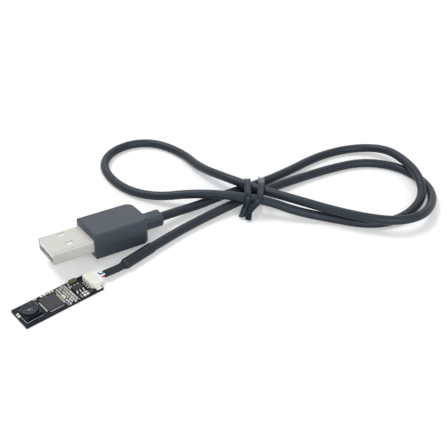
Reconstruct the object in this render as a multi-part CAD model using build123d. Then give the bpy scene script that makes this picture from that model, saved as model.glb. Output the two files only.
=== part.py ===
"""Slim USB camera module: a narrow camera board, its lens, and the coiled lead with its USB-A plug.

Millimetres. The origin is the middle of the board's underside, +X runs from the lens towards the
lead, +Z is up, and everything rests on the plane z = 0.
"""
from build123d import *
import math
import os

os.makedirs("parts", exist_ok=True)

# ---- board and what is soldered to it ----
BOARD_L, BOARD_W, BOARD_T, BOARD_CORNER = 27.5, 9.6, 0.8, 0.2
TOP = BOARD_T
CHIP_L, CHIP_W, CHIP_T = 5.4, 5.8, 0.6
CHIP_AT = (-2.4, -0.35)
PAD_OUT, PAD_W, PAD_T, PAD_PITCH, PADS_PER_SIDE = 0.55, 0.26, 0.06, 0.5, 10
FLASH_L, FLASH_W, FLASH_T = 3.4, 2.3, 0.8
FLASH_AT, FLASH_LIFT = (7.2, 0.2), 0.1
LEAD_PITCH, LEAD_W, LEAD_T, LEAD_OUT, LEADS_PER_SIDE = 1.12, 0.42, 0.15, 1.05, 3
CRYSTAL_L, CRYSTAL_W, CRYSTAL_T = 2.5, 1.7, 0.8
CRYSTAL_AT = (7.55, 3.7)
REG_L, REG_W, REG_T = 0.9, 1.5, 0.5
REG_AT = (9.4, -3.75)
REG_LEAD_OUT, REG_LEAD_W, REG_LEAD_STEP = 0.28, 0.25, 0.5
TANT_L, TANT_W, TANT_T = 1.5, 0.85, 0.65
TANT_AT = (1.6, -0.75)
CAP_L, CAP_W, CAP_T, CAP_END = 1.0, 0.5, 0.4, 0.26
BIG_CAP_L, BIG_CAP_W, BIG_CAP_T = 1.6, 0.8, 0.6
GRID_X, GRID_Y0, GRID_PITCH, GRID_ROWS = (1.75, 2.7, 3.6, 4.45), -4.15, 1.36, 7
SMALL_CAPS = [(-5.9, 4.0, 0), (-1.8, 3.9, 0), (5.35, 1.9, 90), (5.75, 3.4, 90)]
BIG_CAPS = [(-13.2, 0.8, 90), (-3.2, 3.85, 0), (-0.2, 3.85, 0), (7.05, -3.75, 90), (8.1, -3.75, 90)]

# ---- lens ----
LENS_AT = (-9.65, 0.0)
HOLDER_W, HOLDER_T, HOLDER_CORNER, BOSS_D, BOSS_TOP = 5.5, 1.0, 0.25, 5.4, 2.15
SENSOR_W, SENSOR_T = 4.2, 0.35
CAVITY_W, SEPTUM_Z, SEPTUM_T, SEPTUM_HOLE = 4.6, 1.2, 0.12, 2.9
FILTER_W, FILTER_T = 3.2, 0.21
BARREL_D, THREAD_GAP, RIM_D = 4.7, 0.05, 5.25
BARREL_Z, RIM_Z, BARREL_TOP = 1.68, 2.28, 2.75
RECESS_D, RECESS_FLOOR_D, RECESS_DEPTH = 4.5, 4.0, 0.25
DISH_D, DISH_DEPTH, APERTURE_D = 2.6, 0.12, 1.6
NOTCHES, NOTCH_TURN, NOTCH_R, NOTCH_D, NOTCH_DEPTH = 6, 22, 1.62, 0.66, 0.12
FRONT_LENS_D, FRONT_LENS_T, REAR_LENS_D, REAR_LENS_T, STOP_T = 2.2, 0.22, 3.1, 0.2, 0.06
LENS_GAP = 0.04
STOP_HOLE = 1.2

# ---- board connector ----
WAYS, WAY_PITCH, SOCKET_Y = 4, 1.0, -0.25
SOCKET_L, SOCKET_W, SOCKET_H = 3.4, 6.0, 2.2
SOCKET_X = 10.35
BOARD_END = SOCKET_X + SOCKET_L
SOCKET_BACK, SOCKET_FLOOR, SOCKET_NOTCH = 0.65, 0.45, 0.55
HOUSING_L, HOUSING_W, HOUSING_H = 3.8, 4.8, 1.5
HOUSING_GAP = 0.05
HOUSING_X = SOCKET_X + SOCKET_BACK + 2 * HOUSING_GAP
HOUSING_END = HOUSING_X + HOUSING_L
PIN_W, PIN_IN, TAIL_OUT = 0.3, 2.1, 0.75
PIN_END = HOUSING_X + PIN_IN
TERMINAL_W, TERMINAL_BACK, TERMINAL_SHORT, TERMINAL_GAP = 0.6, 1.0, 0.5, 0.04
TERMINAL_X, TERMINAL_END = HOUSING_X + TERMINAL_BACK, HOUSING_END - TERMINAL_SHORT
CHANNEL_GAP = 0.01
TAB_BACK, TAB_L, TAB_OUT, TAB_T, TAB_H = 1.1, 1.9, 1.4, 0.2, 1.1

# ---- lead ----
WIRE_D, BUNDLE = 0.5, 0.3
INNER_SLEEVE_D, INNER_SLEEVE_BORE = 2.45, 1.5
OUTER_SLEEVE_D, OUTER_SLEEVE_X, OUTER_SLEEVE_END, SHOULDER = 3.65, 24.0, 36.4, 0.9
CABLE_D, CABLE_GAP = 3.2, 0.05
SLEEVE_ROUTE = [(16.6, -0.9, 2.25), (22.0, -1.13, 1.97), (27.6, -0.45, 1.95)]
CABLE_ROUTE = [
    (28.0, -0.4, 1.95), (42.0, 1.3, 1.9), (57.0, 2.5, 1.6), (73.0, 1.0, 2.7), (89.0, 0.0, 2.7),
    (104.0, -1.5, 1.7), (118.0, -4.5, 1.6), (130.0, -9.0, 1.6), (137.5, -18.5, 1.6),
    (138.5, -29.0, 1.6), (135.0, -38.5, 1.6), (126.5, -45.5, 3.2), (116.0, -49.0, 4.8),
    (106.5, -46.0, 5.3), (100.0, -38.0, 5.3), (94.0, -27.0, 5.4), (88.0, -14.0, 6.0),
    (82.5, -2.0, 6.2), (78.5, 11.5, 6.2), (78.5, 27.0, 3.0), (81.3, 40.5, 1.6),
    (78.4, 53.6, 1.6), (70.6, 60.0, 1.6), (60.6, 60.2, 1.6), (52.6, 54.4, 1.6),
    (49.4, 44.2, 1.6), (50.0, 33.0, 1.6), (55.0, 22.0, 2.6), (63.0, 12.5, 5.6),
    (72.0, 2.5, 6.2), (80.0, -9.0, 6.2), (86.0, -17.5, 3.4), (94.5, -27.0, 1.6),
    (101.0, -37.0, 1.6), (109.0, -42.0, 1.6), (119.5, -42.5, 1.6), (129.0, -39.5, 2.8),
    (135.0, -32.0, 5.2), (139.0, -21.5, 5.3), (141.0, -11.8, 4.2), (138.1, -3.4, 2.4),
    (130.0, 2.5, 1.6), (118.0, 5.0, 1.6), (104.0, 4.5, 1.8), (89.0, 4.5, 2.7),
    (74.0, 7.5, 2.7), (63.2, 9.5, 1.9), (53.4, 10.1, 3.1), (44.8, 10.6, 4.0)]

# ---- twist tie round the four strands that cross ----
TIE_W, TIE_T, TIE_R, TIE_STEPS = 2.3, 0.6, 1.95, 4
TIE_TURN, TIE_REACH = -40.5, 14.0
TIE_MIDDLE = (79.54, 1.73, 0.0)
TIE_RINGS = [(0.0, 0.0), (3.2, -10.7)]
TIE_TAIL = [(75.85, -2.75, 2.3), (74.0, -4.9, 1.6)]
TIE_TIPS = [(71.3, -4.3, 1.5), (71.5, -8.8, 1.4)]

# ---- USB plug, in its own frame: mouth towards -X, tongue side up ----
MOLD_L, MOLD_W, MOLD_H = 20.1, 14.0, 9.2
MOLD_EDGE, MOLD_REAR_R = 0.7, 3.0
PARTING_W, PARTING_DEPTH, PARTING_DROP, PARTING_SHORT = 0.14, 0.12, 0.9, 5.0
SHELL_W, SHELL_H, SHELL_T, SHELL_OUT, SHELL_IN = 12.0, 4.5, 0.32, 14.15, 4.7
SEAM_W, SEAM_DEPTH, SEAM_L, SEAM_IN = 0.12, 0.14, 11.6, 0.42
WINDOW_L, WINDOW_W, WINDOW_X, WINDOW_Y, WINDOW_SHIFT = 2.3, 2.2, 7.2, 3.1, 0.4
TONGUE_W, TONGUE_T, TONGUE_BACK = 11.1, 2.05, 0.15
CONTACT_W, CONTACT_T, CONTACT_FRONT = 1.0, 0.2, 1.6
CONTACTS = [(-3.5, 7.4), (-1.0, 6.4), (1.0, 6.4), (3.5, 7.4)]
MOULD_END = 11.0
RELIEF_W, RELIEF_H, RELIEF_R, RELIEF_OUT, RELIEF_SOCKET = 5.7, 4.8, 1.8, 47.3, 2.5
PLUG_AT = Pos(29.69, 12.25, 5.72) * Rot(0, 0, -7.3) * Rot(0, 3.5, 0) * Rot(-5.4, 0, 0)


def block(x0, x1, y0, y1, z0, z1):
    """A box given by its six faces."""
    middle = Pos((x0 + x1) / 2, (y0 + y1) / 2, (z0 + z1) / 2)
    return middle * Box(x1 - x0, y1 - y0, z1 - z0)


def disc(diameter, z0, z1, at=LENS_AT):
    """An upright cylinder between two heights."""
    return Pos(at[0], at[1], (z0 + z1) / 2) * Cylinder(diameter / 2, z1 - z0)


def way_positions():
    """The y position of each way of the connector."""
    return [SOCKET_Y + (i - (WAYS - 1) / 2) * WAY_PITCH for i in range(WAYS)]


def point_on(a, b, x):
    """The point at x on the line through a and b."""
    t = (x - a[0]) / (b[0] - a[0])
    return tuple(p + t * (q - p) for p, q in zip(a, b))


def corner_radii(route, share=0.45):
    """One fillet radius per corner of a route, each within its shorter run."""
    radii = []
    for before, here, after in zip(route, route[1:], route[2:]):
        a, b = Vector(*here) - Vector(*before), Vector(*after) - Vector(*here)
        half_turn = math.radians(a.get_angle(b)) / 2
        radii.append(share * min(a.length, b.length) / math.tan(half_turn))
    return radii


def tube(route, diameter, radii):
    """A round rod along straight runs joined by tangent arcs."""
    path = FilletPolyline(*route, radius=radii)
    start = Plane(origin=route[0], z_dir=Vector(*route[1]) - Vector(*route[0]))
    return sweep(start * Circle(diameter / 2), path=path)


def board():
    """The bare board, flush with the mouth of the connector at its +X end."""
    plate = block(BOARD_END - BOARD_L, BOARD_END, -BOARD_W / 2, BOARD_W / 2, 0, TOP)
    return fillet(plate.edges().filter_by(Axis.Z), BOARD_CORNER)


def image_processor():
    chip = Pos(CHIP_AT[0], CHIP_AT[1], TOP + CHIP_T / 2) * Box(CHIP_L, CHIP_W, CHIP_T)
    return chamfer(chip.edges().group_by(Axis.Z)[-1], 0.08)


def processor_pads():
    """Solder pads that show on all four sides of the flat chip."""
    pads = []
    for i in range(PADS_PER_SIDE):
        step = (i - (PADS_PER_SIDE - 1) / 2) * PAD_PITCH
        for side in (-1, 1):
            out_x = side * (CHIP_L + PAD_OUT) / 2
            out_y = side * (CHIP_W + PAD_OUT) / 2
            z = TOP + PAD_T / 2
            pads.append(Pos(CHIP_AT[0] + out_x, CHIP_AT[1] + step, z) * Box(PAD_OUT, PAD_W, PAD_T))
            pads.append(Pos(CHIP_AT[0] + step, CHIP_AT[1] + out_y, z) * Box(PAD_W, PAD_OUT, PAD_T))
    return pads


def gull_lead(reach, shoulder, width):
    """A bent lead that leaves the package in +Y and lands on the board; y = 0 is the package side."""
    mid = (reach + LEAD_T) / 2
    profile = [(0, shoulder), (mid, shoulder), (mid, LEAD_T), (reach, LEAD_T), (reach, 0),
               (mid - LEAD_T, 0), (mid - LEAD_T, shoulder - LEAD_T), (0, shoulder - LEAD_T)]
    face = Plane.YZ * make_face(Polyline(*profile, close=True))
    return Pos(-width / 2, 0, 0) * extrude(face, width)


def flash_memory():
    z = TOP + FLASH_LIFT + FLASH_T / 2
    chip = Pos(FLASH_AT[0], FLASH_AT[1], z) * Box(FLASH_L, FLASH_W, FLASH_T)
    return chamfer(chip.edges().group_by(Axis.Z)[-1], 0.15)


def flash_leads():
    leads = []
    shoulder = FLASH_LIFT + FLASH_T / 2
    for i in range(LEADS_PER_SIDE):
        x = FLASH_AT[0] + (i - (LEADS_PER_SIDE - 1) / 2) * LEAD_PITCH
        for side in (0, 180):
            y = FLASH_AT[1] + (FLASH_W / 2 if side == 0 else -FLASH_W / 2)
            leads.append(Pos(x, y, TOP) * Rot(0, 0, side) * gull_lead(LEAD_OUT, shoulder, LEAD_W))
    return leads


def crystal():
    can = Pos(CRYSTAL_AT[0], CRYSTAL_AT[1], TOP + CRYSTAL_T / 2) * Box(CRYSTAL_L, CRYSTAL_W, CRYSTAL_T)
    return fillet(can.edges().filter_by(Axis.Z), 0.3)


def voltage_regulator():
    body = Pos(REG_AT[0], REG_AT[1], TOP + REG_T / 2) * Box(REG_L, REG_W, REG_T)
    return chamfer(body.edges().group_by(Axis.Z)[-1], 0.12)


def regulator_leads():
    """Two leads on one long side and one on the other."""
    leads = []
    for side, steps in ((90, (-REG_LEAD_STEP, REG_LEAD_STEP)), (-90, (0,))):
        x = REG_AT[0] - REG_L / 2 if side == 90 else REG_AT[0] + REG_L / 2
        for step in steps:
            leads.append(Pos(x, REG_AT[1] + step, TOP) * Rot(0, 0, side)
                         * gull_lead(REG_LEAD_OUT, REG_T / 2, REG_LEAD_W))
    return leads


def chip_part(x, y, turn, length, width, height):
    """The ceramic middle and the two metal ends of one chip component."""
    place = Pos(x, y, TOP + height / 2) * Rot(0, 0, turn)
    end = CAP_END * length / CAP_L
    middle = place * Box(length - 2 * end, width, height * 0.94)
    ends = [place * Pos(side * (length - end) / 2, 0, 0) * Box(end, width, height) for side in (-1, 1)]
    return middle, ends


def tantalum_parts():
    """The amber body of the tantalum capacitor and its two metal ends."""
    return chip_part(TANT_AT[0], TANT_AT[1], 90, TANT_L, TANT_W, TANT_T)


def grid_places():
    """The dense block of small components, in staggered columns beside the tantalum capacitor."""
    places = []
    for row in range(GRID_ROWS):
        for column, x in enumerate(GRID_X):
            y = GRID_Y0 + (row + column % 2 / 2) * GRID_PITCH
            on_board = y + CAP_L / 2 < BOARD_W / 2
            near_tantalum = column == 0 and abs(y - TANT_AT[1]) < (TANT_L + CAP_L) / 2
            if on_board and not near_tantalum:
                places.append((row * 2 + column, x, y))
    return places


def chip_parts(resistors):
    """Middles and ends of all the chip resistors, or of all the chip capacitors."""
    middles, ends = [], []
    places = [(x, y, 90, CAP_L, CAP_W, CAP_T) for number, x, y in grid_places()
              if (number % 3 == 0) == resistors]
    if not resistors:
        places += [(x, y, turn, CAP_L, CAP_W, CAP_T) for x, y, turn in SMALL_CAPS]
        places += [(x, y, turn, BIG_CAP_L, BIG_CAP_W, BIG_CAP_T) for x, y, turn in BIG_CAPS]
    for place in places:
        middle, pair = chip_part(*place)
        middles.append(middle)
        ends += pair
    return middles, ends


def lens_holder():
    """Square foot, round boss, cavity for the sensor and a threaded bore for the barrel."""
    foot = Pos(LENS_AT[0], LENS_AT[1], TOP + HOLDER_T / 2) * Box(HOLDER_W, HOLDER_W, HOLDER_T)
    foot = chamfer(foot.edges().filter_by(Axis.Z), HOLDER_CORNER)
    boss = disc(BOSS_D, TOP, BOSS_TOP)
    cavity = Pos(LENS_AT[0], LENS_AT[1], (TOP + SEPTUM_Z) / 2) * Box(CAVITY_W, CAVITY_W, SEPTUM_Z - TOP)
    window = Pos(LENS_AT[0], LENS_AT[1], SEPTUM_Z) * Box(SEPTUM_HOLE, SEPTUM_HOLE, 1)
    bore = disc(BARREL_D + 2 * THREAD_GAP, SEPTUM_Z + SEPTUM_T, BOSS_TOP)
    return foot + boss - cavity - window - bore


def image_sensor():
    return Pos(LENS_AT[0], LENS_AT[1], TOP + SENSOR_T / 2) * Box(SENSOR_W, SENSOR_W, SENSOR_T)


def ir_filter():
    z = SEPTUM_Z + SEPTUM_T
    return Pos(LENS_AT[0], LENS_AT[1], z + FILTER_T / 2) * Box(FILTER_W, FILTER_W, FILTER_T)


def lens_seats():
    """Heights of the faces inside the barrel, from the aperture plate down."""
    plate_top = BARREL_TOP - RECESS_DEPTH - DISH_DEPTH
    front_seat = plate_top - 0.1
    front_bottom = front_seat - FRONT_LENS_T
    rear_top = front_bottom - STOP_T
    return plate_top, front_seat, front_bottom, rear_top


def lens_barrel():
    """Screw-in barrel: thread, rim, notched recess for the focus key, and stepped bore."""
    plate_top, front_seat, front_bottom, rear_top = lens_seats()
    barrel = disc(BARREL_D, BARREL_Z, RIM_Z)
    barrel += chamfer(disc(RIM_D, RIM_Z, BARREL_TOP).edges().group_by(Axis.Z)[-1], 0.08)
    x, y = LENS_AT
    recess_floor = BARREL_TOP - RECESS_DEPTH
    cone = Pos(x, y, BARREL_TOP - RECESS_DEPTH / 2) * Cone(RECESS_FLOOR_D / 2, RECESS_D / 2, RECESS_DEPTH)
    barrel -= cone
    barrel -= disc(DISH_D, plate_top, recess_floor)
    barrel -= disc(APERTURE_D, front_seat, plate_top)
    barrel -= disc(FRONT_LENS_D + 2 * LENS_GAP, front_bottom, front_seat)
    barrel -= disc(REAR_LENS_D + 2 * LENS_GAP, BARREL_Z, front_bottom)
    for i in range(NOTCHES):
        angle = math.radians(i * 360 / NOTCHES + NOTCH_TURN)
        at = (x + NOTCH_R * math.cos(angle), y + NOTCH_R * math.sin(angle))
        barrel -= disc(NOTCH_D, recess_floor - NOTCH_DEPTH, recess_floor, at)
    return barrel


def front_lens():
    _, front_seat, front_bottom, _ = lens_seats()
    flat = disc(FRONT_LENS_D, front_bottom, front_seat - 0.02)
    radius = 1.3
    dome = Pos(LENS_AT[0], LENS_AT[1], front_seat + 0.08 - radius) * Sphere(radius)
    return flat + (dome & disc(APERTURE_D - 2 * LENS_GAP, front_seat - 0.1, front_seat + 0.08))


def lens_stop():
    _, _, front_bottom, rear_top = lens_seats()
    return disc(REAR_LENS_D, rear_top, front_bottom) - disc(STOP_HOLE, rear_top, front_bottom)


def rear_lens():
    rear_top = lens_seats()[3]
    return disc(REAR_LENS_D, rear_top - REAR_LENS_T, rear_top)


def header_socket():
    """Side-entry socket of the board connector, open towards +X."""
    end = BOARD_END
    top = TOP + SOCKET_H
    body = block(SOCKET_X, end, SOCKET_Y - SOCKET_W / 2, SOCKET_Y + SOCKET_W / 2, TOP, top)
    body = chamfer(body.edges().filter_by(Axis.X).group_by(Axis.Z)[-1], 0.25)
    half = HOUSING_W / 2 + HOUSING_GAP
    floor = TOP + SOCKET_FLOOR
    body -= block(SOCKET_X + SOCKET_BACK, end, SOCKET_Y - half, SOCKET_Y + half,
                  floor, floor + HOUSING_H + 2 * HOUSING_GAP)
    for y in way_positions():
        body -= block(SOCKET_X, SOCKET_X + SOCKET_BACK, y - PIN_W / 2, y + PIN_W / 2,
                      pin_height() - PIN_W / 2, pin_height() + PIN_W / 2)
    for side in (-1, 1):
        corner = Pos(SOCKET_X, SOCKET_Y + side * SOCKET_W / 2, TOP + SOCKET_H / 2)
        body -= corner * Box(2 * SOCKET_NOTCH, 2 * SOCKET_NOTCH, SOCKET_H)
    return body


def pin_height():
    """Height of the middle of the pins."""
    return TOP + SOCKET_FLOOR + HOUSING_GAP + HOUSING_H / 2


def header_pins():
    """Square pins with tails that come down to the board behind the socket."""
    pins = []
    low, high, half = TOP, pin_height(), PIN_W / 2
    back = SOCKET_X - 0.02
    profile = [(PIN_END, high - half), (PIN_END, high + half), (back - PIN_W, high + half),
               (back - PIN_W, low + 0.2), (SOCKET_X - TAIL_OUT, low + 0.2),
               (SOCKET_X - TAIL_OUT, low), (back, low), (back, high - half)]
    for y in way_positions():
        face = Plane.XZ * make_face(Polyline(*profile, close=True))
        pins.append(Pos(0, y + half, 0) * extrude(face, PIN_W))
    return pins


def header_tabs():
    """Solder tabs that hold the socket to the board."""
    tabs = []
    for side in (-1, 1):
        x = SOCKET_X + TAB_BACK
        near, far = SOCKET_Y + side * SOCKET_W / 2, SOCKET_Y + side * (SOCKET_W / 2 + TAB_OUT)
        foot = block(x, x + TAB_L, min(near, far), max(near, far), TOP, TOP + TAB_T)
        wall = near + side * TAB_T
        tabs.append(foot + block(x, x + TAB_L, min(near, wall), max(near, wall), TOP, TOP + TAB_H))
    return tabs


def plug_housing():
    """Housing of the lead's connector, with one channel for each terminal."""
    z = pin_height()
    body = block(HOUSING_X, HOUSING_END, SOCKET_Y - HOUSING_W / 2, SOCKET_Y + HOUSING_W / 2,
                 z - HOUSING_H / 2, z + HOUSING_H / 2)
    body = chamfer(body.edges().filter_by(Axis.X), 0.15)
    wide, slim = TERMINAL_W / 2 + CHANNEL_GAP, PIN_W / 2 + TERMINAL_GAP
    for y in way_positions():
        body -= block(TERMINAL_X, HOUSING_END, y - wide, y + wide, z - wide, z + wide)
        body -= block(HOUSING_X, TERMINAL_X, y - slim, y + slim, z - slim, z + slim)
    return body


def crimp_terminals():
    """Box terminals that take the pins at the front and the wires at the back."""
    z, outer, bore = pin_height(), TERMINAL_W / 2, PIN_W / 2 + TERMINAL_GAP
    terminals = []
    for y in way_positions():
        box = block(TERMINAL_X, TERMINAL_END, y - outer, y + outer, z - outer, z + outer)
        box -= block(TERMINAL_X, PIN_END + 0.2, y - bore, y + bore, z - bore, z + bore)
        terminals.append(box)
    return terminals


def wire(way, dy, dz):
    """One wire from its terminal through the sleeve to the cut end of the cable."""
    y, z = way_positions()[way], pin_height()
    route = [(TERMINAL_END, y, z), (HOUSING_END + 0.15, y, z)]
    route += [(p[0], p[1] + dy, p[2] + dz) for p in SLEEVE_ROUTE[:2]]
    end = CABLE_ROUTE[0]
    route.append((end[0], end[1] + dy, end[2] + dz))
    radii = [min(0.5, r) for r in corner_radii(route)[:1]] + [min(1.0, r) for r in corner_radii(route)[1:]]
    return tube(route, WIRE_D, radii)


def inner_sleeve():
    radii = corner_radii(SLEEVE_ROUTE, 0.3)
    return tube(SLEEVE_ROUTE, INNER_SLEEVE_D, radii) - tube(SLEEVE_ROUTE, INNER_SLEEVE_BORE, radii)


def outer_sleeve():
    """Shrink sleeve over the end of the cable, drawn down onto the inner sleeve at its front."""
    first, second = CABLE_ROUTE[0], CABLE_ROUTE[1]
    start, end = point_on(first, second, OUTER_SLEEVE_X), point_on(first, second, OUTER_SLEEVE_END)
    length = math.dist(start, end)
    outer, bore = OUTER_SLEEVE_D / 2, CABLE_D / 2 + CABLE_GAP
    neck = INNER_SLEEVE_D / 2 + CABLE_GAP
    wall = outer - bore
    profile = [(neck, 0), (neck + wall, 0), (outer, SHOULDER), (outer, length), (bore, length),
               (bore, SHOULDER + wall), (neck, wall)]
    face = Plane.XZ * make_face(Polyline(*profile, close=True))
    axis = Plane(origin=start, z_dir=Vector(*end) - Vector(*start))
    return axis.location * revolve(face, Axis.Z)


def cable():
    radii = corner_radii(CABLE_ROUTE)
    print("cable corner radii", " ".join(f"{r:.1f}" for r in radii))
    body = tube(CABLE_ROUTE, CABLE_D, radii)
    length = body.volume / (math.pi * CABLE_D ** 2 / 4)
    print(f"cable length from volume {length:.1f} mm")
    return body


def cable_path():
    return FilletPolyline(*CABLE_ROUTE, radius=corner_radii(CABLE_ROUTE))


def centre_line():
    """Points closely spaced along the cable's centre line."""
    path = cable_path()
    count = 1800
    return [path @ (i / count) for i in range(count + 1)]


def tie_plane(across, turn, offset):
    """An upright plane of the tie; its x direction lies along the floor, its y direction is up."""
    middle = Pos(*TIE_MIDDLE) * Rot(0, 0, TIE_TURN) * Pos(across, 0, 0) * Rot(0, 0, turn)
    frame = Plane(middle * Pos(offset, 0, 0))
    return Plane(origin=frame.origin, x_dir=frame.y_dir, z_dir=frame.x_dir)


def tie_corners(plane, line):
    """Where the four strands cross the plane: the upper pair, then the lower pair.

    A strand that crosses at a slant is wider there than the cable, so its corner moves outwards.
    """
    hits = []
    for a, b in zip(line, line[1:]):
        before, after = (a - plane.origin).dot(plane.z_dir), (b - plane.origin).dot(plane.z_dir)
        if before * after <= 0 and before != after:
            point = a + (b - a) * (before / (before - after)) - plane.origin
            half_width = CABLE_D / 2 * (b - a).length / abs(after - before)
            if abs(point.dot(plane.x_dir)) < TIE_REACH:
                hits.append((point.dot(plane.x_dir), point.Z, max(0, half_width + 0.1 - TIE_R)))
    hits.sort(key=lambda hit: hit[1])
    upper, lower = sorted(hits[2:]), sorted(hits[:2])
    corners = [(pair[0][0] - pair[0][2], pair[0][1]) for pair in (upper, lower)]
    corners += [(pair[1][0] + pair[1][2], pair[1][1]) for pair in (upper, lower)]
    return [corners[0], corners[2], corners[3], corners[1]]


def tie_face(plane, line, radius):
    """The outline round the four strands in one upright plane, each corner in short straight steps."""
    corners = tie_corners(plane, line)
    outline = []
    for before, here, after in zip([corners[-1]] + corners, corners, corners[1:] + corners[:1]):
        first = math.atan2(here[0] - before[0], before[1] - here[1])
        last = math.atan2(after[0] - here[0], here[1] - after[1])
        turn = (last - first + math.pi) % (2 * math.pi) - math.pi
        for step in range(TIE_STEPS + 1):
            angle = first + turn * step / TIE_STEPS
            outline.append((here[0] + radius * math.cos(angle), here[1] + radius * math.sin(angle)))
    return plane * make_face(Polyline(*outline, close=True))


def tie_ring(across, turn, line):
    """One turn of the strip, which follows the strands across its own width."""
    planes = [tie_plane(across, turn, side * TIE_W / 2) for side in (-1, 1)]
    outer = loft([tie_face(plane, line, TIE_R + TIE_T) for plane in planes], ruled=True)
    inner = loft([tie_face(plane, line, TIE_R) for plane in planes], ruled=True)
    return outer - inner


def strip_between(a, b, width, thickness):
    """A flat strip from a to b that lies on its wide side."""
    start, end = Vector(*a), Vector(*b)
    lie = Plane(origin=start, x_dir=Vector(0, 0, 1).cross(end - start), z_dir=end - start)
    return extrude(lie * Rectangle(width, thickness), (end - start).length)


def twist_tie():
    line = centre_line()
    rings = [tie_ring(across, turn, line) for across, turn in TIE_RINGS]
    tie = rings[0] + rings[1]
    start, end = Vector(*TIE_TAIL[0]), Vector(*TIE_TAIL[1])
    twist_plane = Plane(origin=start, x_dir=Vector(0, 0, 1), z_dir=end - start)
    section = twist_plane * Rectangle(TIE_W * 0.75, TIE_T * 2)
    tie += extrude(section, (end - start).length)
    for number, tip in enumerate(TIE_TIPS):
        root = end + (start - end).normalized() * (0.5 + 0.4 * number)
        tie += strip_between(root, tip, TIE_W * (0.8 - 0.1 * number), TIE_T)
    return tie


def shell_tube(grow, x0, x1):
    """A rounded rectangular prism along the plug."""
    corner = 0.7 + grow
    outline = Plane.YZ * RectangleRounded(SHELL_W + 2 * grow, SHELL_H + 2 * grow, corner)
    return Pos(x0, 0, 0) * extrude(outline, x1 - x0)


def plug_shell():
    """Folded steel shell with two latch windows in each wide face."""
    front, back = -MOLD_L / 2 - SHELL_OUT, -MOLD_L / 2 + SHELL_IN
    shell = shell_tube(0, front, back) - shell_tube(-SHELL_T, front, back)
    for side in (-1, 1):
        shell -= Pos(front + WINDOW_X, side * WINDOW_Y + WINDOW_SHIFT, 0) * Box(WINDOW_L, WINDOW_W, SHELL_H)
    seam_y = -SHELL_W / 2 + SEAM_IN
    shell -= block(front, front + SEAM_L, seam_y, seam_y + SEAM_W, SHELL_H / 2 - SEAM_DEPTH, SHELL_H / 2)
    return PLUG_AT * shell


def tongue_top():
    """Height of the tongue's upper face, on the inside of the shell."""
    return SHELL_H / 2 - SHELL_T


def plug_tongue():
    front = -MOLD_L / 2 - SHELL_OUT + TONGUE_BACK
    top = tongue_top()
    tongue = block(front, -MOLD_L / 2, -TONGUE_W / 2, TONGUE_W / 2, top - TONGUE_T, top)
    tongue = chamfer(tongue.edges().filter_by(Axis.X).group_by(Axis.Z)[-1], 0.3)
    for y, length in CONTACTS:
        tongue -= contact_block(y, length)
    return PLUG_AT * tongue


def contact_block(y, length):
    front = -MOLD_L / 2 - SHELL_OUT + TONGUE_BACK + CONTACT_FRONT
    low = tongue_top() - TONGUE_T
    return block(front, front + length, y - CONTACT_W / 2, y + CONTACT_W / 2, low, low + CONTACT_T)


def plug_contacts():
    return [PLUG_AT * contact_block(y, length) for y, length in CONTACTS]


def inner_mould_block():
    """Hard inner moulding that fills the back of the shell."""
    return shell_tube(-SHELL_T, -MOLD_L / 2, -MOLD_L / 2 + MOULD_END)


def relief_line():
    """Start of the strain relief inside the moulding, and its direction towards the cable."""
    end, before = Vector(*CABLE_ROUTE[-1]), Vector(*CABLE_ROUTE[-2])
    outwards = (before - end).normalized()
    return end, outwards


def relief_block():
    end, outwards = relief_line()
    reach = (RELIEF_OUT - end.X) / outwards.X
    start = end - outwards * 7.2
    plane = Plane(origin=start, x_dir=Vector(0, 1, 0.14), z_dir=outwards)
    return extrude(plane * RectangleRounded(RELIEF_W, RELIEF_H, RELIEF_R), 7.2 + reach)


def strain_relief():
    """Soft collar round the cable where it enters the plug."""
    end, outwards = relief_line()
    collar = relief_block()
    rear = collar.faces().sort_by(Axis(tuple(end), tuple(outwards)))[-1]
    collar = fillet(rear.edges(), 0.45)
    socket = Plane(origin=end, z_dir=outwards) * Circle(CABLE_D / 2 + CABLE_GAP)
    return collar - extrude(socket, 10)


def plug_overmold():
    """Outer moulding with rounded rear corners and a parting line on each side."""
    body = Box(MOLD_L, MOLD_W, MOLD_H)
    rear = body.edges().filter_by(Axis.Z).group_by(Axis.X)[-1]
    body = fillet(rear, MOLD_REAR_R)
    body = fillet(body.faces().sort_by(Axis.Z)[-1].edges(), MOLD_EDGE)
    body = fillet(body.faces().sort_by(Axis.Z)[0].edges(), MOLD_EDGE)
    for side in (-1, 1):
        line = Pos(0.6, side * MOLD_W / 2, -PARTING_DROP)
        body -= line * Box(MOLD_L - PARTING_SHORT, 2 * PARTING_DEPTH, PARTING_W)
    body -= shell_tube(0, -MOLD_L / 2, -MOLD_L / 2 + SHELL_IN)
    body -= inner_mould_block()
    return PLUG_AT * body - relief_block()


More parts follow.
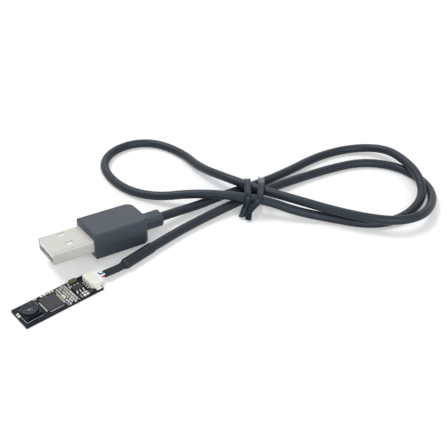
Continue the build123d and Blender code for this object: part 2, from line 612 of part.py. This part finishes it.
def build():
    """Every node of the assembly, by name."""
    cap_middles, cap_ends = chip_parts(False)
    res_middles, res_ends = chip_parts(True)
    tantalum, tantalum_ends = tantalum_parts()
    return {
        "board": board(),
        "lens_holder": lens_holder(),
        "image_sensor": image_sensor(),
        "ir_filter": ir_filter(),
        "image_processor": image_processor(),
        "processor_pads": processor_pads(),
        "flash_memory": flash_memory(),
        "flash_leads": flash_leads(),
        "crystal": crystal(),
        "voltage_regulator": voltage_regulator(),
        "regulator_leads": regulator_leads(),
        "tantalum_capacitor": tantalum,
        "chip_capacitors": cap_middles,
        "capacitor_terminals": cap_ends + tantalum_ends,
        "chip_resistors": res_middles,
        "resistor_terminals": res_ends,
        "header_socket": header_socket(),
        "header_pins": header_pins(),
        "header_tabs": header_tabs(),
        "lens_barrel": lens_barrel(),
        "front_lens": front_lens(),
        "lens_stop": lens_stop(),
        "rear_lens": rear_lens(),
        "plug_housing": plug_housing(),
        "crimp_terminals": crimp_terminals(),
        "wire_red": wire(0, -BUNDLE, -BUNDLE),
        "wire_white": wire(1, -BUNDLE, BUNDLE),
        "wire_blue": wire(2, BUNDLE, BUNDLE),
        "wire_black": wire(3, BUNDLE, -BUNDLE),
        "inner_sleeve": inner_sleeve(),
        "outer_sleeve": outer_sleeve(),
        "cable": cable(),
        "strain_relief": strain_relief(),
        "plug_overmold": plug_overmold(),
        "inner_mould": PLUG_AT * inner_mould_block(),
        "plug_shell": plug_shell(),
        "plug_tongue": plug_tongue(),
        "plug_contacts": plug_contacts(),
        "twist_tie": twist_tie(),
    }


for name, shape in build().items():
    solid = Compound(children=list(shape)) if isinstance(shape, list) else shape
    box = solid.bounding_box()
    print(f"{name:20s} x {box.min.X:7.2f} {box.max.X:7.2f}  y {box.min.Y:7.2f} {box.max.Y:7.2f}"
          f"  z {box.min.Z:6.2f} {box.max.Z:6.2f}  solids {len(solid.solids())} vol {solid.volume:.3f}")
    export_step(solid, f"parts/{name}.step")
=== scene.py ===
"""Looks for the slim USB camera module and its coiled lead. Metres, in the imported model's frame."""
import math

import bpy
from mathutils import Matrix, Vector


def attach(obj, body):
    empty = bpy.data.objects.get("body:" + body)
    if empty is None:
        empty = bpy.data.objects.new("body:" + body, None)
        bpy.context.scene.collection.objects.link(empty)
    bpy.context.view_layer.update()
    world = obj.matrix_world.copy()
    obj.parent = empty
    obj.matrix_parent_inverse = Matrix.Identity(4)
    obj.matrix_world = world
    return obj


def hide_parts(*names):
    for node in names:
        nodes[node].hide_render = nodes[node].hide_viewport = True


MM = 0.001
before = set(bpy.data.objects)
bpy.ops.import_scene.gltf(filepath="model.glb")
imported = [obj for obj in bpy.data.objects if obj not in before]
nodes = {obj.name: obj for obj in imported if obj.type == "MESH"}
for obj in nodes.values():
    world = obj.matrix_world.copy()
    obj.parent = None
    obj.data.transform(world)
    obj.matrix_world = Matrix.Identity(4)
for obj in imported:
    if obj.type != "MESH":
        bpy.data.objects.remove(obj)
scene = bpy.context.scene
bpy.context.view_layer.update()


# ---------------------------------------------------------------- camera
CAMERA_PLACE, CAMERA_TARGET = Vector((-0.0808, -0.1736, 0.1682)), Vector((0.0663, -0.0013, 0.0))
SENSOR_WIDTH, FOCAL_LENGTH = 36, 64.43  # mm
PICTURE_WIDTH, PICTURE_HEIGHT = 1341, 1320


def aim(thing, place, target):
    """Puts a camera or lamp at a place and turns it towards a target."""
    thing.location = place
    thing.rotation_euler = (Vector(target) - Vector(place)).to_track_quat("-Z", "Y").to_euler()


def make_camera():
    data = bpy.data.cameras.new("camera")
    camera = bpy.data.objects.new("camera", data)
    scene.collection.objects.link(camera)
    aim(camera, CAMERA_PLACE, CAMERA_TARGET)
    data.sensor_fit = "HORIZONTAL"
    data.sensor_width = SENSOR_WIDTH
    data.lens = FOCAL_LENGTH
    data.clip_start = 0.01
    data.clip_end = 20
    scene.camera = camera
    scene.render.resolution_x = PICTURE_WIDTH
    scene.render.resolution_y = PICTURE_HEIGHT


# ---------------------------------------------------------------- materials
COOL = (0.74, 0.87, 1.0)  # tint of the sheen on the dark plastics
COAT_ROUGHNESS, NOISE_DETAIL, BUMP_STRENGTH = 0.15, 3, 0.6
NOISE_LOW, NOISE_HIGH = 0.3, 0.7


def linear(code):
    """Linear colour of a hex code."""
    values = [int(code[i:i + 2], 16) / 255 for i in (1, 3, 5)]
    return [v / 12.92 if v <= 0.04045 else ((v + 0.055) / 1.055) ** 2.4 for v in values] + [1.0]


def material(name, color, rough=0.5, metal=0.0, coat=0.0, grain=None, depth=0.0, vary=0.0, second=None,
             transmission=0.0, specular=0.5, stretch=(1, 1, 1), tint=(1, 1, 1)):
    """A shader with procedural grain. The grain's size and the bump's depth are in millimetres."""
    made = bpy.data.materials.new(name)
    made.use_nodes = True
    tree = made.node_tree
    shader = tree.nodes["Principled BSDF"]
    shader.inputs["Base Color"].default_value = linear(color)
    shader.inputs["Roughness"].default_value = rough
    shader.inputs["Metallic"].default_value = metal
    shader.inputs["Coat Weight"].default_value = coat
    shader.inputs["Coat Roughness"].default_value = COAT_ROUGHNESS
    shader.inputs["Specular IOR Level"].default_value = specular
    shader.inputs["Specular Tint"].default_value = [*tint, 1]
    shader.inputs["Transmission Weight"].default_value = transmission
    if grain:
        where = tree.nodes.new("ShaderNodeTexCoord")
        mapping = tree.nodes.new("ShaderNodeMapping")
        noise = tree.nodes.new("ShaderNodeTexNoise")
        noise.inputs["Detail"].default_value = NOISE_DETAIL
        noise.inputs["Scale"].default_value = 1
        mapping.inputs["Scale"].default_value = [1 / (grain * MM * s) for s in stretch]
        tree.links.new(where.outputs["Object"], mapping.inputs["Vector"])
        tree.links.new(mapping.outputs["Vector"], noise.inputs["Vector"])
        if depth:
            bump = tree.nodes.new("ShaderNodeBump")
            bump.inputs["Distance"].default_value = depth * MM
            bump.inputs["Strength"].default_value = BUMP_STRENGTH
            tree.links.new(noise.outputs["Fac"], bump.inputs["Height"])
            tree.links.new(bump.outputs["Normal"], shader.inputs["Normal"])
        if vary:
            mix = tree.nodes.new("ShaderNodeMix")
            mix.data_type = "RGBA"
            mix.inputs[6].default_value = linear(color)
            mix.inputs[7].default_value = linear(second or color)
            ramp = tree.nodes.new("ShaderNodeMapRange")
            ramp.inputs["From Min"].default_value = NOISE_LOW
            ramp.inputs["From Max"].default_value = NOISE_HIGH
            ramp.inputs["To Max"].default_value = vary
            tree.links.new(noise.outputs["Fac"], ramp.inputs["Value"])
            tree.links.new(ramp.outputs["Result"], mix.inputs[0])
            tree.links.new(mix.outputs[2], shader.inputs["Base Color"])
    return made


def give(finish, *names):
    for name in names:
        mesh = nodes[name].data
        mesh.materials.clear()
        mesh.materials.append(finish)


# ---------------------------------------------------------------- lead
ROUTE = [
    (28.0, -0.4, 1.95), (42.0, 1.3, 1.9), (57.0, 2.5, 1.6), (73.0, 1.0, 2.7), (89.0, 0.0, 2.7),
    (104.0, -1.5, 1.7), (118.0, -4.5, 1.6), (130.0, -9.0, 1.6), (137.5, -18.5, 1.6),
    (138.5, -29.0, 1.6), (135.0, -38.5, 1.6), (126.5, -45.5, 3.2), (116.0, -49.0, 4.8),
    (106.5, -46.0, 5.3), (100.0, -38.0, 5.3), (94.0, -27.0, 5.4), (88.0, -14.0, 6.0),
    (82.5, -2.0, 6.2), (78.5, 11.5, 6.2), (78.5, 27.0, 3.0), (81.3, 40.5, 1.6),
    (78.4, 53.6, 1.6), (70.6, 60.0, 1.6), (60.6, 60.2, 1.6), (52.6, 54.4, 1.6),
    (49.4, 44.2, 1.6), (50.0, 33.0, 1.6), (55.0, 22.0, 2.6), (63.0, 12.5, 5.6),
    (72.0, 2.5, 6.2), (80.0, -9.0, 6.2), (86.0, -17.5, 3.4), (94.5, -27.0, 1.6),
    (101.0, -37.0, 1.6), (109.0, -42.0, 1.6), (119.5, -42.5, 1.6), (129.0, -39.5, 2.8),
    (135.0, -32.0, 5.2), (139.0, -21.5, 5.3), (141.0, -11.8, 4.2), (138.1, -3.4, 2.4),
    (130.0, 2.5, 1.6), (118.0, 5.0, 1.6), (104.0, 4.5, 1.8), (89.0, 4.5, 2.7),
    (74.0, 7.5, 2.7), (63.2, 9.5, 1.9), (53.4, 10.1, 3.1), (44.8, 10.6, 4.0)]
CABLE_D = 3.2


def make_cable(finish):
    data = bpy.data.curves.new("lead_cable", "CURVE")
    data.dimensions = "3D"
    data.bevel_depth = CABLE_D / 2 * MM
    data.bevel_resolution = 8
    data.resolution_u = 12
    data.use_fill_caps = True
    line = data.splines.new("NURBS")
    line.points.add(len(ROUTE) - 1)
    for point, (x, y, z) in zip(line.points, ROUTE):
        point.co = (x * MM, y * MM, z * MM, 1)
    line.order_u = 3
    line.use_endpoint_u = True
    cable = bpy.data.objects.new("lead_cable", data)
    scene.collection.objects.link(cable)
    data.materials.append(finish)
    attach(cable, "lead")
    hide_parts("cable")
    return cable


# ---------------------------------------------------------------- twist tie
ALONG, ACROSS = Vector((0.760, -0.649, 0)), Vector((0.649, 0.760, 0))
TIE_AT = Vector((79.54, 1.73, 0))
TIE_WIDTH, TIE_WEB, TIE_RIB, TIE_BACK = 2.35, 0.26, 0.3, 0.04
RIB_MIDDLE, RIB_HALF, EDGE_POWER = 0.72, 0.3, 12  # of half the strip's width
STRIP_POINTS, TIP_STEPS, TIP_NARROW = 20, 5, 0.4
KNOT_WIDTH, KNOT_STEPS = 1.5, 10
# Each station: along the bundle, across it, height, and the twist of the strip in degrees.
TURN_ONE = [
    (-2.0, -10.6, 0.95, -20), (-1.4, -9.6, 1.3, -15), (-0.6, -8.5, 3.0, 0), (0.1, -8.2, 5.0, 0),
    (0.45, -7.75, 7.1, 0), (0.5, -6.1, 8.1, 0), (0.5, -2.0, 8.2, 0), (0.5, 1.9, 8.2, 0), (0.5, 3.7, 7.3, 0),
    (0.5, 7.5, 3.4, 0), (0.5, 6.6, 1.0, 0), (0.8, 2.5, 0.78, 0), (1.6, -1.8, 0.8, 0), (2.2, -5.6, 2.6, 0),
    (2.4, -7.4, 4.4, 0)]
TURN_TWO = [
    (0.55, -12.2, 0.8, 10), (0.7, -10.8, 1.4, 10), (0.9, -9.6, 2.4, 10), (1.8, -9.35, 3.9, 5),
    (3.0, -9.3, 5.5, 0), (4.1, -8.7, 7.2, 0), (4.8, -6.9, 8.1, 0), (5.1, -3.5, 8.2, 0), (5.4, -0.9, 8.2, 0),
    (5.6, 1.2, 7.7, 0), (5.8, 8.9, 4.4, 0), (5.6, 10.0, 2.2, 0), (5.2, 8.6, 0.85, 0), (4.6, 3.0, 0.78, 0),
    (4.0, -2.0, 1.1, 0), (3.6, -6.0, 3.0, 0)]
KNOT = [(0.2, -11.2, 1.5, 0), (0.6, -10.0, 2.5, 220), (1.1, -9.4, 3.6, 440), (1.3, -8.9, 4.6, 560)]


def tie_station(values):
    along, across, height, twist = values
    return TIE_AT + ALONG * along + ACROSS * across + Vector((0, 0, height)), twist


def smooth_between(before, a, b, after, t):
    """A point between a and b on a curve that passes through all four."""
    return (a * 2 + (b - before) * t + (before * 2 - a * 5 + b * 4 - after) * t ** 2
            + (a * 3 - before - b * 3 + after) * t ** 3) / 2


def strip_outline(width):
    """The strip's section: a thin web with a rounded rib near each edge."""
    half = width / 2
    upper = []
    for i in range(STRIP_POINTS + 1):
        side = -half + width * i / STRIP_POINTS
        rib = max(0.0, 1 - ((abs(side) - RIB_MIDDLE * half) / (RIB_HALF * half)) ** 2)
        edge = max(0.0, 1 - (abs(side) / half) ** EDGE_POWER)
        upper.append((side, TIE_WEB * edge + TIE_RIB * rib * edge))
    return upper + [(side, -TIE_BACK) for side, _ in reversed(upper)]


def make_strip(name, stations, finish, width=TIE_WIDTH, steps=8):
    """A strip swept along its stations, with narrower, rounded tips."""
    spots = [tie_station(values) for values in stations]
    spots = [spots[0]] + spots + [spots[-1]]
    line = []
    for k in range(1, len(spots) - 2):
        for step in range(steps):
            t = step / steps
            places = [spots[k + i][0] for i in (-1, 0, 1, 2)]
            line.append((smooth_between(*places, t), spots[k][1] * (1 - t) + spots[k + 1][1] * t))
    line.append(spots[-1])
    outline = strip_outline(width)
    count = len(outline)
    points, faces = [], []
    for i, (place, twist) in enumerate(line):
        tangent = (line[min(i + 1, len(line) - 1)][0] - line[max(i - 1, 0)][0]).normalized()
        wide = (ALONG - tangent * ALONG.dot(tangent)).normalized()
        wide = Matrix.Rotation(math.radians(twist), 3, tangent) @ wide
        out = wide.cross(tangent)
        end = min(i, len(line) - 1 - i) / TIP_STEPS
        narrow = 1 if end >= 1 else TIP_NARROW + (1 - TIP_NARROW) * math.sqrt(end * (2 - end))
        points += [(place + wide * side * narrow + out * up) * MM for side, up in outline]
    for i in range(len(line) - 1):
        for j in range(count):
            k = (j + 1) % count
            faces.append((i * count + j, i * count + k, (i + 1) * count + k, (i + 1) * count + j))
    faces.append(tuple(range(count)))
    faces.append(tuple((len(line) - 1) * count + j for j in reversed(range(count))))
    return make_mesh(name, points, faces, finish, smooth=True)


def make_mesh(name, points, faces, finish, smooth=False):
    mesh = bpy.data.meshes.new(name)
    mesh.from_pydata(points, [], faces)
    mesh.materials.append(finish)
    for face in mesh.polygons:
        face.use_smooth = smooth
    made = bpy.data.objects.new(name, mesh)
    scene.collection.objects.link(made)
    return made


def make_tie(finish):
    strips = [make_strip("tie_turn_one", TURN_ONE, finish), make_strip("tie_turn_two", TURN_TWO, finish),
              make_strip("tie_knot", KNOT, finish, width=KNOT_WIDTH, steps=KNOT_STEPS)]
    for piece in strips:
        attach(piece, "lead")
        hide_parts("twist_tie")
    return strips


# ---------------------------------------------------------------- print and lands on the board
BOARD_TOP = 0.8
PRINT_LINES = [  # x0, y0, x1, y1, width
    (-12.75, -3.4, -7.2, -3.4, 0.16), (-12.75, -3.4, -12.75, 1.9, 0.16), (1.08, -4.7, 1.08, 3.5, 0.24),
    (5.0, -4.7, 5.0, 1.0, 0.16), (6.2, -4.3, 6.2, -2.9, 0.3), (-6.2, 3.1, -6.2, 1.6, 0.14)]
PART_COLUMNS, FIRST_ROW, LAST_ROW, ROW_PITCH, ROWS = (1.75, 2.7, 3.6, 4.45), -4.15, 4.3, 1.36, 7
LAND_WIDE, LAND_LONG, LAND_OUT = 0.62, 0.36, 0.5
SUNK, INK_HEIGHT, TIN_HEIGHT = 0.01, 0.012, 0.02


def flat_boxes(name, boxes, height, finish):
    """Thin rectangles lying on the board, each given by its middle and its size."""
    points, faces = [], []
    for x, y, wide, long in boxes:
        base = len(points)
        for z in (BOARD_TOP - SUNK, BOARD_TOP + height):
            points += [((x + a * wide / 2) * MM, (y + b * long / 2) * MM, z * MM)
                       for a, b in ((-1, -1), (1, -1), (1, 1), (-1, 1))]
        faces += [tuple(base + v for v in face) for face in
                  ((0, 3, 2, 1), (4, 5, 6, 7), (0, 1, 5, 4), (1, 2, 6, 5), (2, 3, 7, 6), (3, 0, 4, 7))]
    return make_mesh(name, points, faces, finish)


def make_silk(ink, tin):
    """Printed lines, and the solder lands under the rows of small parts."""
    lines = []
    for x0, y0, x1, y1, width in PRINT_LINES:
        lines.append(((x0 + x1) / 2, (y0 + y1) / 2, abs(x1 - x0) + width, abs(y1 - y0) + width))
    printed = flat_boxes("board_print", lines, INK_HEIGHT, ink)
    lands = []
    for column, x in enumerate(PART_COLUMNS):
        for row in range(ROWS):
            y = FIRST_ROW + ROW_PITCH * (row + 0.5 * (column % 2))
            if y < LAST_ROW:
                lands += [(x, y + end * LAND_OUT, LAND_WIDE, LAND_LONG) for end in (-1, 1)]
    placed = flat_boxes("part_lands", lands, TIN_HEIGHT, tin)
    for piece, slot in ((printed, "connector_white"), (placed, "tinned_metal")):
        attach(piece, "camera_board")


# ---------------------------------------------------------------- stage
MIDDLE = (0.06, 0.0, 0.0)
FLOOR_SIZE, FLOOR_WHITE, GLOW, GLOW_SHARE = 6, 0.95, 1.12, 0.24
FILL, FILL_COLOR = 0.52, (0.97, 0.985, 1.0, 1)
LAMPS = [  # name, place, size, power
    ("back_softbox", (0.66, 0.72, 0.74), 0.95, 1.8), ("high_softbox", (-0.1, 0.45, 0.95), 0.45, 5.0),
    ("front_softbox", (-0.3, -0.8, 0.42), 1.1, 7.0)]


def seen_directly(tree):
    """1 for rays from the camera and for reflected and refracted rays, 0 for lighting rays."""
    path = tree.nodes.new("ShaderNodeLightPath")
    last = path.outputs["Is Camera Ray"]
    for name in ("Is Glossy Ray", "Is Transmission Ray"):
        either = tree.nodes.new("ShaderNodeMath")
        either.operation = "MAXIMUM"
        tree.links.new(last, either.inputs[0])
        tree.links.new(path.outputs[name], either.inputs[1])
        last = either.outputs[0]
    return last


def make_floor():
    """A matt floor that also glows a little for the rays that see it."""
    bpy.ops.mesh.primitive_plane_add(size=FLOOR_SIZE, location=MIDDLE)
    floor = bpy.context.object
    floor.name = "floor"
    white = bpy.data.materials.new("floor_white")
    white.use_nodes = True
    tree = white.node_tree
    tree.nodes.clear()
    out = tree.nodes.new("ShaderNodeOutputMaterial")
    matte = tree.nodes.new("ShaderNodeBsdfDiffuse")
    matte.inputs["Color"].default_value = [FLOOR_WHITE] * 3 + [1]
    glow = tree.nodes.new("ShaderNodeEmission")
    glow.inputs["Color"].default_value = (1, 1, 1, 1)
    glow.inputs["Strength"].default_value = GLOW
    share = tree.nodes.new("ShaderNodeMath")
    share.operation = "MULTIPLY"
    share.inputs[1].default_value = GLOW_SHARE
    both = tree.nodes.new("ShaderNodeMixShader")
    tree.links.new(seen_directly(tree), share.inputs[0])
    tree.links.new(share.outputs[0], both.inputs[0])
    tree.links.new(matte.outputs[0], both.inputs[1])
    tree.links.new(glow.outputs[0], both.inputs[2])
    tree.links.new(both.outputs[0], out.inputs["Surface"])
    floor.data.materials.append(white)


def make_world():
    """White where it is seen, and a weaker fill as a light."""
    world = bpy.data.worlds.new("surroundings")
    scene.world = world
    world.use_nodes = True
    tree = world.node_tree
    tree.nodes.clear()
    out = tree.nodes.new("ShaderNodeOutputWorld")
    mix = tree.nodes.new("ShaderNodeMixShader")
    fill = tree.nodes.new("ShaderNodeBackground")
    seen = tree.nodes.new("ShaderNodeBackground")
    fill.inputs["Color"].default_value = FILL_COLOR
    fill.inputs["Strength"].default_value = FILL
    seen.inputs["Color"].default_value = (1, 1, 1, 1)
    seen.inputs["Strength"].default_value = 1.0
    tree.links.new(seen_directly(tree), mix.inputs[0])
    tree.links.new(fill.outputs[0], mix.inputs[1])
    tree.links.new(seen.outputs[0], mix.inputs[2])
    tree.links.new(mix.outputs[0], out.inputs["Surface"])


def make_lamps():
    for name, place, size, power in LAMPS:
        data = bpy.data.lights.new(name, "AREA")
        data.shape = "DISK"
        data.size = size
        data.energy = power
        lamp = bpy.data.objects.new(name, data)
        scene.collection.objects.link(lamp)
        aim(lamp, place, MIDDLE)


scene.view_settings.view_transform = "Standard"
scene.render.film_transparent = False
make_camera()
jacket = material("cable_jacket", "#1b1f25", 0.42, grain=0.6, depth=0.008, vary=0.6, second="#21262d",
                  specular=0.36, tint=COOL)
tie_finish = material("tie_slate", "#161d27", 0.36, grain=0.3, depth=0.003, specular=0.34, tint=COOL)
lead_cable = make_cable(jacket)
make_tie(tie_finish)
make_floor()
make_world()
make_lamps()

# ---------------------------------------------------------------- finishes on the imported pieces
give(material("solder_mask", "#0d1017", 0.42, grain=1.5, depth=0.004, vary=0.6, second="#121620",
              specular=0.16, tint=COOL), "board")
give(material("lens_moulding", "#0f1218", 0.5, grain=0.15, depth=0.004, specular=0.35, tint=COOL),
     "lens_holder")
give(material("barrel_moulding", "#161a21", 0.42, grain=0.15, depth=0.004, specular=0.45, tint=COOL),
     "lens_barrel", "lens_stop")
give(material("sensor_surface", "#23242e", 0.1, coat=0.6, grain=0.05, vary=0.5, second="#30303a"),
     "image_sensor")
give(material("filter_glass", "#c9a0b4", 0.05, transmission=0.8, grain=0.5, vary=0.2, second="#a06080"),
     "ir_filter")
give(material("lens_glass", "#1a1f2c", 0.05, transmission=0.3, coat=0.5, grain=0.5, vary=0.2,
              second="#232b40"), "front_lens", "rear_lens")
give(material("package_grey", "#38383a", 0.6, grain=0.12, depth=0.006, vary=0.5, second="#323234",
              specular=0.3), "image_processor")
give(material("package_black", "#1c1e22", 0.5, grain=0.12, depth=0.006, specular=0.35),
     "flash_memory", "voltage_regulator")
give(material("tinned", "#dcddd8", 0.35, metal=0.6, grain=0.2, depth=0.01, vary=0.5, second="#b4b6b0"),
     "processor_pads", "flash_leads", "regulator_leads", "capacitor_terminals", "resistor_terminals",
     "header_pins", "crimp_terminals")
give(material("tab_solder", "#e0e2d8", 0.4, metal=0.25, grain=0.3, depth=0.01, vary=0.4, second="#cfd2c6"),
     "header_tabs")
give(material("crystal_can", "#5d5a44", 0.4, metal=0.5, grain=0.3, depth=0.004, vary=0.6, second="#3c3a2c"),
     "crystal")
give(material("tantalum_amber", "#cfa75c", 0.45, grain=0.2, depth=0.004, vary=0.4, second="#b98f46"),
     "tantalum_capacitor")
give(material("capacitor_ceramic", "#8a8775", 0.5, grain=0.1, depth=0.003, vary=0.6, second="#5f6050"),
     "chip_capacitors")
give(material("resistor_glaze", "#20252a", 0.3, grain=0.1, depth=0.003, specular=0.4), "chip_resistors")
give(material("ivory_moulding", "#d7d9ce", 0.45, grain=0.3, depth=0.004, vary=0.4, second="#d1d3c6",
              specular=0.3), "header_socket")
give(material("white_moulding", "#dfe3e2", 0.4, grain=0.3, depth=0.004, specular=0.3), "plug_housing")
give(material("insulation_red", "#c4392a", 0.35, grain=0.2, depth=0.003), "wire_red")
give(material("insulation_white", "#e4e6e6", 0.35, grain=0.2, depth=0.003), "wire_white")
give(material("insulation_blue", "#3f86b4", 0.35, grain=0.2, depth=0.003), "wire_blue")
give(material("insulation_black", "#16181c", 0.35, grain=0.2, depth=0.003), "wire_black")
give(material("shrink_sleeve", "#13161b", 0.5, grain=0.25, depth=0.008, specular=0.4, tint=COOL),
     "inner_sleeve", "outer_sleeve")
give(material("overmold", "#2b3037", 0.48, grain=0.18, depth=0.005, vary=0.5, second="#262a30", specular=0.6,
              tint=COOL), "plug_overmold", "strain_relief")
give(material("shell_steel", "#bebeb9", 0.5, metal=0.45, grain=0.35, depth=0.002, vary=0.5, second="#b1b1ab",
              stretch=(6, 1, 1)), "plug_shell")
give(material("tongue_moulding", "#d6dadb", 0.4, grain=0.3, depth=0.003, specular=0.3), "plug_tongue")
# Near-black inner moulding: partly the moulding's own dark plastic, partly painted shade that darkens the
# deep cavity inside the plug's mouth.
give(material("inner_dark_with_painted_shade", "#14151a", 0.5, grain=0.3, depth=0.003, specular=0.3), "inner_mould")
give(material("contact_gold", "#d8b25c", 0.25, metal=1.0, grain=0.2, depth=0.002), "plug_contacts")
make_silk(material("silk_white", "#aab4bf", 0.7, grain=0.1, vary=0.4, second="#8c97a3", specular=0.2),
          material("land_tin", "#c9ccc4", 0.4, metal=0.4, grain=0.15, depth=0.006, vary=0.6,
                   second="#8f9488"))
